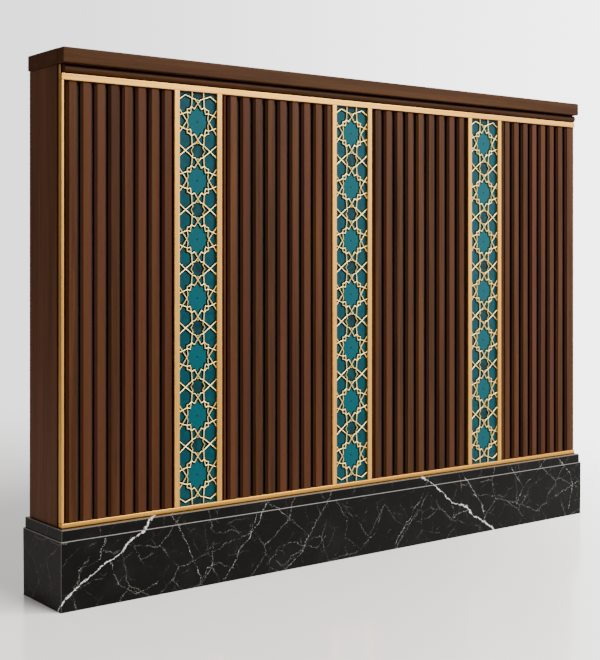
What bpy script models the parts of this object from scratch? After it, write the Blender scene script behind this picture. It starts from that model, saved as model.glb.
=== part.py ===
"""Slatted wall panel: walnut slats and three star-lattice inlay strips between brass rails,
on a black marble plinth, under a walnut frieze moulding and cap.

Metres, +Z up. X runs along the panel, the decorated front faces -Y. The origin is the centre of
the plinth's underside.
"""
import math

import bmesh
import bpy
from mathutils import Vector
from mathutils.geometry import delaunay_2d_cdt

# Overall sizes
PLINTH_LENGTH = 1.672
PLINTH_DEPTH = 0.187
PLINTH_OVERHANG = 0.011
PANEL_HEIGHT = 1.200
CLEARANCE = 0.0003

# Marble plinth: a block with a slightly smaller rounded step on top
PLINTH_BLOCK_HEIGHT = 0.150
PLINTH_STEP_HEIGHT = 0.024
PLINTH_STEP_SETBACK = 0.0035
PLINTH_STEP_ROUNDING = 0.008
PLINTH_ARRIS = 0.003

# Heights of the bands above the plinth
BOTTOM_RAIL_HEIGHT = 0.010
TOP_RAIL_HEIGHT = 0.014
FRIEZE_HEIGHT = 0.020
FRIEZE_FACETS = 12
CAP_HEIGHT = 0.034

# Set-backs of the front faces behind the plinth's front face
CAP_SETBACK = 0.003
FRIEZE_SETBACK = 0.0145
RAIL_SETBACK = 0.018
TRIM_SETBACK = 0.019
LATTICE_SETBACK = 0.0222
SLAT_SETBACK = 0.0225
SEAM_HEAD_SETBACK = 0.0265
BACKING_SETBACK = 0.0343
SIDE_BOARD_SETBACK = 0.0418

# Carcass boards
BOARD_THICKNESS = 0.018
BACKING_THICKNESS = 0.012
BACKING_END_SETBACK = 0.004
BACK_BOARD_THICKNESS = 0.012
RIGHT_END_REACH = 0.0045
CAP_OVERHANG = 0.0046
CAP_FASCIA_THICKNESS = 0.0285
CAP_EASING = 0.002

# Brass
CORNER_TRIM_WIDTH = 0.0055
STRIP_TRIM_WIDTH = 0.0135
BRASS_EASING = 0.0012

# Slats: a flat face that steps down to a sloping shoulder on each side. A thin bead stands beside
# two of the strips, and a wide slat at the right end.
SLAT_FACE_WIDTH = 0.018
SLAT_SHOULDER_WIDTH = 0.005
SLAT_SHOULDER_DEPTH = 0.0055
SLAT_STEP = 0.0015
NARROW_SLAT_WIDTH = 0.004
NARROW_SLAT_OFFSET = 0.0079
END_SLAT_WIDTH = 0.0337

# Inlay strips and the star lattice. The strips' middles are shares of the wooden body's length,
# counted from its middle.
STRIP_OPENING = 0.102
STRIP_PLACE_SHARES = (-0.2903, -0.0115, 0.2767)
STARS_PER_STRIP = 7
LATTICE_THICKNESS = 0.0034
STRAP_WIDTH = 0.0026
END_ROOF_DROP = 0.008

# The four sections of slats: how many there are, and the middles of the first and the last one,
# measured from the section's left and right end
SLAT_COUNTS = (8, 9, 9, 7)
FIRST_SLAT_PLACES = (0.0225, 0.0342, 0.0233, 0.0275)
LAST_SLAT_PLACES = (0.0155, 0.0056, 0.0224, 0.0246)

# Worked out from the sizes above. The body runs a little further at its right end than at its left.
BODY_LENGTH = PLINTH_LENGTH - 2 * PLINTH_OVERHANG
BODY_END = BODY_LENGTH / 2
BODY_RIGHT = BODY_END + RIGHT_END_REACH
SLAT_WIDTH = SLAT_FACE_WIDTH + 2 * SLAT_SHOULDER_WIDTH
FRONT = -PLINTH_DEPTH / 2
BODY_BACK = PLINTH_DEPTH / 2 - PLINTH_OVERHANG
PLINTH_TOP = PLINTH_BLOCK_HEIGHT + PLINTH_STEP_HEIGHT
CAP_UNDERSIDE = PANEL_HEIGHT - CAP_HEIGHT
FRIEZE_UNDERSIDE = CAP_UNDERSIDE - FRIEZE_HEIGHT
FIELD_TOP = FRIEZE_UNDERSIDE - TOP_RAIL_HEIGHT
FIELD_BOTTOM = PLINTH_TOP + BOTTOM_RAIL_HEIGHT
BACKING_FRONT = FRONT + BACKING_SETBACK
STAR_SPACING = (FIELD_TOP - FIELD_BOTTOM) / STARS_PER_STRIP
STRIP_CENTRES = [share * BODY_LENGTH for share in STRIP_PLACE_SHARES]

# Corners of the lattice straps in a quarter of one repeat, as shares of the star spacing. The
# first number runs sideways from the middle of the strip, the second upwards from the middle of
# a large star. The rest of the repeat is the same quarter mirrored.
SIDE_CROSSING_SHARE = (0.25, 0.5)
SMALL_STAR_NOTCH_SHARE = (0.076, 0.381)
AXIS_CROSSING_SHARE = (0.0, 0.310)
UPPER_NOTCH_SHARE = (0.070, 0.213)
SHOULDER_CROSSING_SHARE = (0.130, 0.247)
CORNER_NOTCH_SHARE = (0.154, 0.135)
SIDE_STAR_CROSSING_SHARE = (0.309, 0.117)
SIDE_NOTCH_SHARE = (0.221, 0.0)
SMALL_STAR_CORNER_SHARE = (0.116, 0.404)
SIDE_ARM_SLOPE = 0.80
LOWER_ARM_SLOPE = 1.32


def clear_scene():
    for item in list(bpy.data.objects):
        bpy.data.objects.remove(item, do_unlink=True)


def new_collection(name):
    collection = bpy.data.collections.new(name)
    bpy.context.scene.collection.children.link(collection)
    return collection


def make_material(name, colour, roughness, metallic=0.0):
    material = bpy.data.materials.new(name)
    material.use_nodes = True
    shader = material.node_tree.nodes["Principled BSDF"]
    shader.inputs["Base Color"].default_value = (*colour, 1.0)
    shader.inputs["Roughness"].default_value = roughness
    shader.inputs["Metallic"].default_value = metallic
    material.diffuse_color = (*colour, 1.0)
    return material


def add_object(name, data, material, collection):
    item = bpy.data.objects.new(name, data)
    item.data.materials.append(material)
    collection.objects.link(item)
    return item


def add_box(name, low, high, material, collection):
    """A box between two corners, as a cube primitive with its size in the mesh."""
    middle = [(a + b) / 2 for a, b in zip(low, high)]
    size = [b - a for a, b in zip(low, high)]
    mesh = bpy.data.meshes.new(name)
    shape = bmesh.new()
    bmesh.ops.create_cube(shape, size=1.0)
    bmesh.ops.scale(shape, vec=size, verts=shape.verts)
    shape.to_mesh(mesh)
    shape.free()
    item = add_object(name, mesh, material, collection)
    item.location = middle
    return item


def ease_edges(item, radius, wanted, segments=1):
    """Rounds or chamfers the box edges whose middle, in the box's own axes, is wanted."""
    shape = bmesh.new()
    shape.from_mesh(item.data)
    edges = [edge for edge in shape.edges if wanted((edge.verts[0].co + edge.verts[1].co) / 2)]
    bmesh.ops.bevel(shape, geom=edges, offset=radius, segments=segments, profile=0.5, affect="EDGES")
    shape.to_mesh(item.data)
    shape.free()


def on_front(middle):
    return middle.y < -1e-6 and (abs(middle.x) > 1e-6 or abs(middle.z) > 1e-6)


def on_top(middle):
    return middle.z > 1e-6 and (abs(middle.x) > 1e-6 or abs(middle.y) > 1e-6)


def add_outline(name, points, thickness, material, collection):
    """A flat closed outline in its own XY plane, thickened evenly both ways along its own Z."""
    curve = bpy.data.curves.new(name, "CURVE")
    curve.dimensions = "2D"
    curve.fill_mode = "BOTH"
    curve.extrude = thickness / 2
    spline = curve.splines.new("POLY")
    spline.points.add(len(points) - 1)
    for point, (x, y) in zip(spline.points, points):
        point.co = (x, y, 0.0, 1.0)
    spline.use_cyclic_u = True
    return add_object(name, curve, material, collection)


def add_upright(name, points, low, high, material, collection):
    """A bar standing on end, from its outline in plan."""
    item = add_outline(name, points, high - low, material, collection)
    item.location = (0.0, 0.0, (low + high) / 2)
    return item


def add_lengthwise(name, points, low, high, material, collection):
    """A bar lying along X, from its outline in a cut across the panel: depth, then height."""
    item = add_outline(name, points, high - low, material, collection)
    item.rotation_euler = (math.pi / 2, 0.0, math.pi / 2)
    item.location = ((low + high) / 2, 0.0, 0.0)
    return item


def make_plinth(material, collection, cutters):
    """Block and step are one stone: the step is a second box, united with the block."""
    half = PLINTH_LENGTH / 2
    block = add_box("plinth", (-half, FRONT, 0.0), (half, -FRONT, PLINTH_BLOCK_HEIGHT), material, collection)
    ease_edges(block, PLINTH_ARRIS, on_top, 2)
    inset = PLINTH_STEP_SETBACK
    step = add_box("plinth_step", (-half + inset, FRONT + inset, PLINTH_BLOCK_HEIGHT / 2),
                   (half - inset, -FRONT - inset, PLINTH_TOP), material, cutters)
    ease_edges(step, PLINTH_STEP_ROUNDING, on_top, 4)
    step.hide_render = True
    step.display_type = "WIRE"
    union = block.modifiers.new("step", "BOOLEAN")
    union.operation = "UNION"
    union.object = step


def side_board_outline(outer, sign):
    """Plan of a side board: it laps over the end of the backing board with a thin lip."""
    lip = outer - sign * (BACKING_END_SETBACK - CLEARANCE)
    inner = outer - sign * BOARD_THICKNESS
    lip_front = FRONT + SIDE_BOARD_SETBACK
    board_front = BACKING_FRONT + BACKING_THICKNESS + CLEARANCE
    return ((outer, lip_front), (outer, BODY_BACK), (inner, BODY_BACK), (inner, board_front),
            (lip, board_front), (lip, lip_front))


def make_carcass(wood, dark, collection):
    low = PLINTH_TOP + CLEARANCE
    high = CAP_UNDERSIDE - CLEARANCE
    add_upright("side_board_left", side_board_outline(-BODY_END, -1), low, high, wood, collection)
    add_upright("side_board_right", side_board_outline(BODY_RIGHT, 1), low, high, wood, collection)
    inset = BACKING_END_SETBACK
    add_box("backing_board", (-BODY_END + inset, BACKING_FRONT, low),
            (BODY_RIGHT - inset, BACKING_FRONT + BACKING_THICKNESS, high), dark, collection)
    inset = BOARD_THICKNESS + CLEARANCE
    add_box("back_board", (-BODY_END + inset, BODY_BACK - BACK_BOARD_THICKNESS, low),
            (BODY_RIGHT - inset, BODY_BACK, high), wood, collection)


def make_cap(material, collection):
    half = BODY_END + CAP_OVERHANG
    front = FRONT + CAP_SETBACK
    joint = front + CAP_FASCIA_THICKNESS
    fascia = add_box("cap_fascia", (-half, front, CAP_UNDERSIDE), (half, joint, PANEL_HEIGHT),
                     material, collection)
    ease_edges(fascia, CAP_EASING, on_front, 2)
    board = add_box("cap_board", (-half, joint + CLEARANCE, CAP_UNDERSIDE), (half, BODY_BACK, PANEL_HEIGHT),
                    material, collection)
    ease_edges(board, CAP_EASING, lambda middle: on_top(middle) and middle.y > -1e-6)


def make_frieze(material, collection):
    """A half-round moulding; its nose stands proud of the rail below."""
    radius = FRIEZE_HEIGHT / 2 - CLEARANCE
    centre = (FRONT + FRIEZE_SETBACK + radius, FRIEZE_UNDERSIDE + FRIEZE_HEIGHT / 2)
    back = BACKING_FRONT - CLEARANCE
    angles = [math.pi / 2 + math.pi * number / FRIEZE_FACETS for number in range(FRIEZE_FACETS + 1)]
    nose = [(centre[0] + radius * math.cos(angle), centre[1] + radius * math.sin(angle)) for angle in angles]
    points = [(back, centre[1] + radius)] + nose + [(back, centre[1] - radius)]
    left = -BODY_END + CORNER_TRIM_WIDTH + CLEARANCE
    add_lengthwise("frieze_moulding", points, left, BODY_RIGHT, material, collection)


def make_rail(name, low, high, material, collection):
    rail = add_box(name, (-BODY_END, FRONT + RAIL_SETBACK, low),
                   (BODY_RIGHT, BACKING_FRONT - CLEARANCE, high), material, collection)
    ease_edges(rail, BRASS_EASING, on_front)


def make_upright_trim(name, left, right, material, collection):
    trim = add_box(name, (left, FRONT + TRIM_SETBACK, FIELD_BOTTOM + CLEARANCE),
                   (right, BACKING_FRONT - CLEARANCE, FIELD_TOP - CLEARANCE), material, collection)
    ease_edges(trim, BRASS_EASING, lambda middle: middle.y < -1e-6 and abs(middle.z) < 1e-6)


def make_brass(material, collection):
    make_rail("bottom_rail", PLINTH_TOP + CLEARANCE, FIELD_BOTTOM, material, collection)
    make_rail("top_rail", FIELD_TOP, FRIEZE_UNDERSIDE - CLEARANCE, material, collection)
    left = -BODY_END
    right = left + CORNER_TRIM_WIDTH
    make_upright_trim("corner_trim", left, right, material, collection)
    add_box("corner_trim_head", (left, FRONT + SEAM_HEAD_SETBACK, FRIEZE_UNDERSIDE + CLEARANCE),
            (right, BACKING_FRONT - CLEARANCE, CAP_UNDERSIDE - CLEARANCE), material, collection)
    for number, centre in enumerate(STRIP_CENTRES, 1):
        inner = STRIP_OPENING / 2
        outer = inner + STRIP_TRIM_WIDTH
        make_upright_trim(f"strip_{number}_trim_left", centre - outer, centre - inner, material, collection)
        make_upright_trim(f"strip_{number}_trim_right", centre + inner, centre + outer, material, collection)


def slat_outline(low, high, left, right):
    """Plan of one slat with its face and shoulders, cut off square where it would pass left or right."""
    back = BACKING_FRONT - CLEARANCE
    face = FRONT + SLAT_SETBACK
    arris = low + SLAT_SHOULDER_WIDTH
    rise = [(low, face + SLAT_SHOULDER_DEPTH), (arris, face + SLAT_STEP), (arris, face)]
    fall = [(low + high - x, y) for x, y in reversed(rise)]
    if low < left:
        rise = [(left, face)]
    if high > right:
        fall = [(right, face)]
    return [(max(low, left), back)] + rise + fall + [(min(high, right), back)]


def section_ends():
    """Left and right end of each of the four slatted sections, between the brass uprights."""
    reach = STRIP_OPENING / 2 + STRIP_TRIM_WIDTH
    starts = [-BODY_END + CORNER_TRIM_WIDTH] + [centre + reach for centre in STRIP_CENTRES]
    stops = [centre - reach for centre in STRIP_CENTRES] + [BODY_RIGHT - END_SLAT_WIDTH]
    return list(zip(starts, stops))


def make_slats(material, collection):
    low = FIELD_BOTTOM + CLEARANCE
    high = FIELD_TOP - CLEARANCE
    places = zip(section_ends(), SLAT_COUNTS, FIRST_SLAT_PLACES, LAST_SLAT_PLACES)
    for section, ((left, right), count, first, last) in enumerate(places, 1):
        spacing = (right - left - first - last) / (count - 1)
        for number in range(count):
            edge = left + first - SLAT_WIDTH / 2 + number * spacing
            outline = slat_outline(edge, edge + SLAT_WIDTH, left + CLEARANCE, right - CLEARANCE)
            add_upright(f"slat_{section}_{number + 1}", outline, low, high, material, collection)
    outline = slat_outline(BODY_RIGHT - END_SLAT_WIDTH, BODY_RIGHT + SLAT_SHOULDER_WIDTH, -BODY_END,
                           BODY_RIGHT)
    add_upright("end_slat", outline, low, high, material, collection)
    for section in (2, 4):
        left = section_ends()[section - 1][0] + NARROW_SLAT_OFFSET
        add_box(f"narrow_slat_{section}", (left, FRONT + SLAT_SETBACK, low),
                (left + NARROW_SLAT_WIDTH, BACKING_FRONT - CLEARANCE, high), material, collection)


def at(share):
    return Vector(share) * STAR_SPACING


def quarter_straps(is_end):
    """Centre lines of the straps in a quarter repeat, in metres from the large star's middle.

    The arms at the sides run on past the opening, where the lattice is cut straight.
    """
    reach = STRIP_OPENING / 2 + STRAP_WIDTH
    crossing = at(SIDE_CROSSING_SHARE)
    if is_end:
        crossing.y -= END_ROOF_DROP
    side_arm = Vector((reach, crossing.y - (reach - crossing.x) * SIDE_ARM_SLOPE))
    side_star = at(SIDE_STAR_CROSSING_SHARE)
    lower_arm = Vector((reach, side_star.y + (reach - side_star.x) * LOWER_ARM_SLOPE))
    below = Vector((side_star.x, -side_star.y))
    star = [side_arm, crossing, at(SMALL_STAR_NOTCH_SHARE), at(AXIS_CROSSING_SHARE), at(UPPER_NOTCH_SHARE),
            at(SHOULDER_CROSSING_SHARE)]
    side = [lower_arm, side_star, at(SIDE_NOTCH_SHARE), below]
    upright = [side_star, at(CORNER_NOTCH_SHARE), at(SHOULDER_CROSSING_SHARE), at(SMALL_STAR_CORNER_SHARE)]
    if is_end:
        upright.append(Vector((upright[-1].x, STAR_SPACING / 2)))
    return star, side, upright


def strap_outline(line, width):
    """Left and right edge of a strap along a centre line, mitred at its bends."""
    left = []
    right = []
    for number, point in enumerate(line):
        before = (point - line[number - 1]).normalized() if number > 0 else None
        after = (line[number + 1] - point).normalized() if number < len(line) - 1 else None
        first = before or after
        second = after or before
        along = (first + second).normalized()
        across = Vector((-along.y, along.x)) * (width / 2 / along.dot(first))
        left.append(point + across)
        right.append(point - across)
    return left, right


def lattice_region():
    """Corners and faces of the flat star lattice: all straps of all repeats, united."""
    half_width = STRIP_OPENING / 2 - CLEARANCE
    half_height = (FIELD_TOP - FIELD_BOTTOM) / 2 - CLEARANCE
    corners = [Vector((-half_width, -half_height)), Vector((half_width, -half_height)),
               Vector((half_width, half_height)), Vector((-half_width, half_height))]
    faces = [[0, 1, 2, 3]]
    for star in range(STARS_PER_STRIP):
        height = (star - (STARS_PER_STRIP - 1) / 2) * STAR_SPACING
        for up in (1, -1):
            is_end = star == (STARS_PER_STRIP - 1 if up > 0 else 0)
            for line in quarter_straps(is_end):
                for side in (1, -1):
                    placed = [Vector((side * point.x, height + up * point.y)) for point in line]
                    left, right = strap_outline(placed, STRAP_WIDTH)
                    for number in range(len(placed) - 1):
                        start = len(corners)
                        corners += [left[number], right[number], right[number + 1], left[number + 1]]
                        faces.append([start, start + 1, start + 2, start + 3])
    found = delaunay_2d_cdt(corners, [], faces, 1, 1e-6, True)
    kept = [face for face, sources in zip(found[2], found[5]) if 0 in sources and len(sources) > 1]
    return found[0], kept


def make_lattice_mesh():
    corners, faces = lattice_region()
    shape = bmesh.new()
    points = [shape.verts.new((corner.x, corner.y, 0.0)) for corner in corners]
    for face in faces:
        shape.faces.new([points[number] for number in face])
    loose = [point for point in shape.verts if not point.link_faces]
    bmesh.ops.delete(shape, geom=loose, context="VERTS")
    bmesh.ops.dissolve_limit(shape, angle_limit=0.002, verts=shape.verts, edges=shape.edges)
    bmesh.ops.recalc_face_normals(shape, faces=shape.faces)
    mesh = bpy.data.meshes.new("star_lattice")
    shape.to_mesh(mesh)
    shape.free()
    return mesh


def make_inlays(teal, gold, collection):
    lattice = make_lattice_mesh()
    lattice.materials.append(gold)
    middle = (FIELD_TOP + FIELD_BOTTOM) / 2
    lattice_back = FRONT + LATTICE_SETBACK + LATTICE_THICKNESS
    half = STRIP_OPENING / 2 - CLEARANCE
    for number, centre in enumerate(STRIP_CENTRES, 1):
        add_box(f"inlay_panel_{number}", (centre - half, lattice_back + CLEARANCE, FIELD_BOTTOM + CLEARANCE),
                (centre + half, BACKING_FRONT - CLEARANCE, FIELD_TOP - CLEARANCE), teal, collection)
        screen = bpy.data.objects.new(f"star_lattice_{number}", lattice)
        collection.objects.link(screen)
        screen.rotation_euler = (math.pi / 2, 0.0, 0.0)
        screen.location = (centre, lattice_back - LATTICE_THICKNESS / 2, middle)
        thicken = screen.modifiers.new("thickness", "SOLIDIFY")
        thicken.thickness = LATTICE_THICKNESS
        thicken.offset = 0.0


clear_scene()
panel = new_collection("slatted_wall_panel")
tools = new_collection("cutters")
marble = make_material("black_marble", (0.012, 0.012, 0.013), 0.12)
walnut = make_material("walnut", (0.085, 0.035, 0.018), 0.45)
stained = make_material("stained_backing", (0.020, 0.011, 0.008), 0.7)
brass = make_material("satin_brass", (0.65, 0.42, 0.20), 0.32, 1.0)
pale_brass = make_material("lattice_brass", (0.78, 0.62, 0.38), 0.35, 1.0)
glaze = make_material("teal_glaze", (0.02, 0.16, 0.20), 0.25)
make_plinth(marble, panel, tools)
make_carcass(walnut, stained, panel)
make_cap(walnut, panel)
make_frieze(walnut, panel)
make_brass(brass, panel)
make_slats(walnut, panel)
make_inlays(glaze, pale_brass, panel)
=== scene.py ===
"""Looks of the slatted wall panel: walnut slats and star-lattice inlays between brass bars, on a
black marble plinth. Metres, +Z up; the decorated front faces -Y.
"""
import math

import bpy
import numpy as np
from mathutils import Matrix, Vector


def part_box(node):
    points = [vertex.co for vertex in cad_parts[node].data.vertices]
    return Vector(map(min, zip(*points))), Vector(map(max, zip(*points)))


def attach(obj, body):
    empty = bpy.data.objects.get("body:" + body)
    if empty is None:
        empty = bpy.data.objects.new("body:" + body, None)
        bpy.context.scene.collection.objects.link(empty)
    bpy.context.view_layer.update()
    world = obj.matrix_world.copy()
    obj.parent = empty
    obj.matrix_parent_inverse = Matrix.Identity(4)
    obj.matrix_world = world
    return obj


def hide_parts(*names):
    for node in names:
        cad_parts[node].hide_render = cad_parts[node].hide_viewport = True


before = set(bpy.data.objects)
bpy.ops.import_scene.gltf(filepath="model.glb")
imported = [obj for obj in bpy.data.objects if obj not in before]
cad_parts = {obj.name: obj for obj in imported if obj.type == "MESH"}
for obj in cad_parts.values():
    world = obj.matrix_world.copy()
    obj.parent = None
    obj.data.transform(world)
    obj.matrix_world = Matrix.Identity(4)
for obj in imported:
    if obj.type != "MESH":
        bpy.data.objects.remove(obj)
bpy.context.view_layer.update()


# The marble plinth
# One block of black marble with white veins, polished all over. Its top is cut back a little and
# rounded, and the wooden body stands on it. Grey lines along its arrises are painted highlights.

BLOCK_HEIGHT = 0.150
STEP_INSET = 0.0035
STEP_ROUNDING = 0.0022
BLOCK_ARRIS = 0.0018
UPRIGHT_ARRIS = 0.0012
FOOT_ARRIS = 0.0008
# How much grey each arris takes: painted highlights on the block's top edge, the step's rounding and the
# upright corners.
BLOCK_HIGHLIGHT = 1.0
STEP_HIGHLIGHT = 0.6
UPRIGHT_HIGHLIGHT = 0.6
ARC_POINTS = 7
CORNER_POINTS = 4
SMOOTH_ANGLE = math.radians(38)


def arc(start, stop, count=ARC_POINTS):
    """Cosines and sines of evenly spaced angles, given in degrees, as two arrays."""
    angles = np.radians(np.linspace(start, stop, count))
    return np.cos(angles), np.sin(angles)


def plan_ring(half_x, half_y, radius):
    """Points round a rectangle with rounded corners: a quarter circle about each corner's centre."""
    rows = []
    for sign_x, sign_y, start in ((1, 1, 0), (-1, 1, 90), (-1, -1, 180), (1, -1, 270)):
        c, s = arc(start, start + 90, CORNER_POINTS)
        rows.append(np.stack([sign_x * (half_x - radius) + radius * c,
                              sign_y * (half_y - radius) + radius * s], axis=1))
    return np.concatenate(rows)


def ring_quads(count, around):
    """Quads between neighbouring rings: a point, the next one round, and the two over them."""
    row, step = np.meshgrid(np.arange(count - 1), np.arange(around), indexing="ij")
    after = (step + 1) % around
    return np.stack([row * around + step, row * around + after, (row + 1) * around + after,
                     (row + 1) * around + step], axis=-1).reshape(-1, 4)


def new_object(name, data):
    """Puts an object that holds this data in the scene."""
    made = bpy.data.objects.new(name, data)
    bpy.context.scene.collection.objects.link(made)
    return made


def smooth_mesh(name, points, faces, material, angle):
    """A mesh that is shaded smooth, apart from edges sharper than the angle."""
    mesh = bpy.data.meshes.new(name)
    mesh.from_pydata(points.tolist(), [], faces)
    mesh.materials.append(material)
    mesh.shade_smooth()
    mesh.set_sharp_from_angle(angle=angle)
    return mesh


def store(piece, name, values):
    """Stores one number for each point of a piece, which its material reads."""
    attribute = piece.data.attributes.new(name, "FLOAT", "POINT")
    attribute.data.foreach_set("value", np.ravel(values).astype(np.float32))


def skin(name, rings, material, replaced):
    """A closed piece from equal rings of points, an array of rings by points by three.

    Neighbouring rings are joined by quads, and the first and last ring are filled flat.
    """
    count, around = rings.shape[:2]
    points = rings.reshape(-1, 3)
    quads = ring_quads(count, around)
    corners = points[quads]
    middle = points.mean(axis=0)
    across = np.cross(corners[:, 2] - corners[:, 0], corners[:, 3] - corners[:, 1])
    outwards = (across * (corners.mean(axis=1) - middle)).sum() > 0
    faces = quads.tolist() if outwards else quads[:, ::-1].tolist()
    first = list(range(around))
    last = list(range((count - 1) * around, count * around))
    faces += [first[::-1], last] if outwards else [first, last[::-1]]
    piece = new_object(name, smooth_mesh(name, points, faces, material, SMOOTH_ANGLE))
    weighted = piece.modifiers.new("even shading", "WEIGHTED_NORMAL")
    weighted.keep_sharp = True
    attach(piece, "root")
    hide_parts(replaced)
    return piece


def put(tree, socket, value):
    if isinstance(value, bpy.types.NodeSocket):
        tree.links.new(value, socket)
    else:
        socket.default_value = value


def add(tree, kind, inputs=(), **settings):
    """Adds a shader node. inputs is a dict of names, or a list in the sockets' order."""
    item = tree.nodes.new("ShaderNode" + kind)
    for name, value in settings.items():
        setattr(item, name, value)
    pairs = inputs.items() if isinstance(inputs, dict) else enumerate(inputs)
    for key, value in pairs:
        put(tree, item.inputs[key], value)
    return item


def calc(tree, operation, *values):
    return add(tree, "Math", values, operation=operation).outputs[0]


def vector_calc(tree, operation, *values):
    return add(tree, "VectorMath", values, operation=operation).outputs[0]


def vector_number(tree, operation, *values):
    """A vector operation that gives a number: a dot product, a length or a distance."""
    return add(tree, "VectorMath", values, operation=operation).outputs["Value"]


def scaled(tree, vector, amount):
    inputs = {"Vector": vector, "Scale": amount}
    return add(tree, "VectorMath", inputs, operation="SCALE").outputs[0]


def smooth(tree, value, low, high, start=0.0, end=1.0):
    """Runs smoothly from start to end while the value runs from low to high."""
    inputs = {"Value": value, "From Min": low, "From Max": high, "To Min": start, "To Max": end}
    return add(tree, "MapRange", inputs, interpolation_type="SMOOTHSTEP").outputs[0]


def noise(tree, vector, scale, detail=3.0, roughness=0.5, distortion=0.0):
    inputs = {"Vector": vector, "Scale": scale, "Detail": detail, "Roughness": roughness,
              "Distortion": distortion}
    return add(tree, "TexNoise", inputs)


def stretched(tree, vector, scale, place=(0, 0, 0), turn=(0, 0, 0)):
    inputs = {"Vector": vector, "Scale": scale, "Location": place, "Rotation": turn}
    return add(tree, "Mapping", inputs).outputs[0]


def tint(tree, factor, first, second, blend="MIX"):
    item = add(tree, "Mix", data_type="RGBA", blend_type=blend)
    put(tree, item.inputs[0], factor)
    put(tree, item.inputs[6], first)
    put(tree, item.inputs[7], second)
    return item.outputs[2]


def new_material(name):
    material = bpy.data.materials.new(name)
    material.use_nodes = True
    tree = material.node_tree
    return material, tree, tree.nodes["Principled BSDF"]


def object_place(tree):
    return add(tree, "TexCoord").outputs["Object"]


def rgb(red, green, blue):
    """A colour as it is seen, 0 to 255, turned to the linear values that shaders take."""
    seen = np.array([red, green, blue]) / 255
    linear = np.where(seen > 0.04045, ((seen + 0.055) / 1.055) ** 2.4, seen / 12.92)
    return (*linear.tolist(), 1.0)


MARBLE_BLACK = rgb(9, 9, 8)
MARBLE_CLOUD = rgb(19, 19, 18)
MARBLE_WHITE = rgb(214, 210, 202)
MARBLE_GREY = rgb(112, 108, 102)
MARBLE_ROUGHNESS = 0.16
MARBLE_SPECULAR = 0.05
# Share of grey in the painted highlight along the arrises.
ARRIS_HIGHLIGHT_SHARE = 0.8
WIDE_VEIN = 0.003
VEIN_WANDER = 0.012
VEIN_JAGS = 0.005
FLATTEN = (1, 1, 0)
BELOW_ALL_PLACES = -9.0

# The fine nets of grey veins: cells a metre, a line's width as a share of a cell, how much of the
# net stays hidden, and its strength.
FINE_NETS = ((9.0, 0.016, 0.42, 0.85), (21.0, 0.022, 0.46, 0.55))

# The main veins as they cross the front, each with its width in metres and its strength, and then
# its bends: place along the plinth and height. A vein goes on round the end and over the top.
MAIN_VEINS = (
    (0.0050, 1.0, ((-0.850, 0.005), (-0.806, 0.047), (-0.768, 0.067))),
    (0.0036, 1.0, ((-0.768, 0.067), (-0.729, 0.093), (-0.688, 0.109))),
    (0.0056, 1.0, ((-0.688, 0.109), (-0.668, 0.132), (-0.635, 0.147), (-0.617, 0.176))),
    (0.0016, 0.75, ((-0.800, 0.040), (-0.792, 0.085), (-0.745, 0.100), (-0.728, 0.146))),
    (0.0014, 0.55, ((-0.720, 0.095), (-0.700, 0.040), (-0.655, 0.012), (-0.600, 0.030))),
    (0.0014, 0.60, ((-0.668, 0.132), (-0.640, 0.085), (-0.610, 0.098))),
    (0.0019, 0.85, ((-0.572, 0.190), (-0.558, 0.165), (-0.520, 0.098), (-0.505, 0.060), (-0.483, 0.010))),
    (0.0019, 0.85, ((-0.530, -0.010), (-0.486, 0.004), (-0.455, 0.040), (-0.448, 0.098))),
    (0.0015, 0.70, ((-0.486, 0.004), (-0.470, 0.040), (-0.435, 0.045), (-0.395, 0.030))),
    (0.0022, 0.90, ((-0.425, 0.004), (-0.403, 0.032), (-0.360, 0.088), (-0.322, 0.128), (-0.290, 0.180))),
    (0.0016, 0.75, ((-0.455, 0.075), (-0.410, 0.090), (-0.345, 0.105), (-0.330, 0.150))),
    (0.0018, 0.80, ((-0.297, 0.170), (-0.246, 0.135), (-0.210, 0.105), (-0.173, 0.075))),
    (0.0019, 0.85, ((-0.250, -0.005), (-0.198, 0.035), (-0.173, 0.075), (-0.127, 0.135), (-0.100, 0.175))),
    (0.0013, 0.55, ((-0.300, 0.020), (-0.262, 0.058), (-0.215, 0.062), (-0.150, 0.040), (-0.120, 0.070))),
    (0.0013, 0.50, ((-0.090, 0.150), (-0.050, 0.100), (-0.060, 0.050), (-0.008, 0.017), (0.039, 0.051))),
    (0.0014, 0.60, ((0.039, 0.051), (0.070, 0.120), (0.110, 0.070), (0.148, 0.054), (0.191, 0.095))),
    (0.0022, 0.90, ((0.105, 0.010), (0.128, 0.036), (0.150, 0.066))),
    (0.0014, 0.60, ((0.150, 0.066), (0.191, 0.110), (0.215, 0.150), (0.230, 0.180))),
    (0.0034, 1.0, ((0.195, 0.180), (0.270, 0.131), (0.311, 0.096), (0.363, 0.078))),
    (0.0044, 1.0, ((0.363, 0.078), (0.394, 0.048), (0.440, 0.023), (0.475, 0.000))),
    (0.0026, 0.95, ((0.340, 0.185), (0.356, 0.160), (0.390, 0.120), (0.428, 0.071), (0.440, 0.028))),
    (0.0013, 0.60, ((0.311, 0.096), (0.320, 0.058), (0.380, 0.066), (0.394, 0.048))),
    (0.0014, 0.65, ((0.390, 0.110), (0.450, 0.098), (0.511, 0.083), (0.556, 0.050), (0.600, 0.012))),
    (0.0015, 0.70, ((0.530, 0.185), (0.555, 0.148), (0.588, 0.105), (0.560, 0.060))),
    (0.0016, 0.75, ((0.588, 0.105), (0.659, 0.154), (0.700, 0.185))),
    (0.0016, 0.75, ((0.642, 0.028), (0.700, 0.058), (0.801, 0.086), (0.850, 0.105))),
    (0.0021, 0.85, ((0.715, 0.190), (0.744, 0.160), (0.788, 0.123), (0.800, 0.086), (0.780, 0.020))),
    (0.0012, 0.45, ((-0.978, 0.004), (-0.930, 0.060), (-0.904, 0.102), (-0.870, 0.120), (-0.835, 0.150))),
    (0.0012, 0.40, ((-1.020, 0.120), (-0.960, 0.080), (-0.925, 0.020))),
)


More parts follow.
